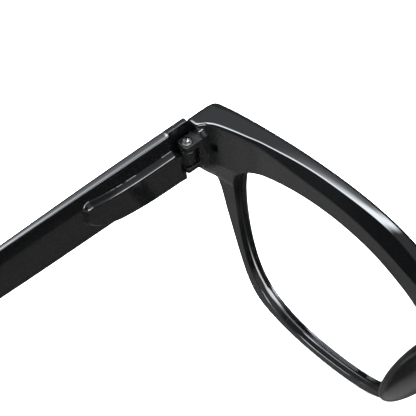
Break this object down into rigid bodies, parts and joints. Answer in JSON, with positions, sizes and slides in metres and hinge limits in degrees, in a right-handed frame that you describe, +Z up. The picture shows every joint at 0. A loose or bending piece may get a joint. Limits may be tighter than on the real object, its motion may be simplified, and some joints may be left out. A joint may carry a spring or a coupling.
{
  "type": "eyeglasses",
  "caption": "Full-rim eyeglasses with a gloss black moulded front, clear lenses, saddle nose pads and temples that fold on three-barrel screw hinges.",
  "frame": {"origin": "middle of the base that the open glasses stand on: half way from the front surface to the temple tips, on the symmetry plane, at the level of the rim bottoms", "axes": "+X towards the wearer's left, +Y back along the temples (the lenses face -Y), +Z up"},
  "size_m": [0.1334, 0.1492, 0.0501],
  "materials": {
    "black_plastic": "polished",
    "pad_plastic": "polished",
    "lens": "clear",
    "hinge_metal": "gloss black",
    "screw_steel": "bright"
  },
  "bodies": {
    "front": {"front_frame": "black_plastic", "lens_left": "lens", "lens_right": "lens", "nose_pad_left": "pad_plastic", "nose_pad_right": "pad_plastic", "front_hinge_left": "hinge_metal", "front_hinge_right": "hinge_metal", "hinge_screw_left": "screw_steel", "hinge_screw_right": "screw_steel"},
    "left_temple": {"temple_left": "black_plastic", "temple_hinge_left": "hinge_metal"},
    "right_temple": {"temple_right": "black_plastic", "temple_hinge_right": "hinge_metal"}
  },
  "joints": [
    {"name": "fold_left", "type": "hinge", "parent": "front", "child": "left_temple", "pos_m": [0.0626, -0.06108, 0.0431], "axis": [0, 0, 1], "range_deg": [0, 90]},
    {"name": "fold_right", "type": "hinge", "parent": "front", "child": "right_temple", "pos_m": [-0.0626, -0.06108, 0.0431], "axis": [0, 0, -1], "range_deg": [0, 84]}
  ]
}
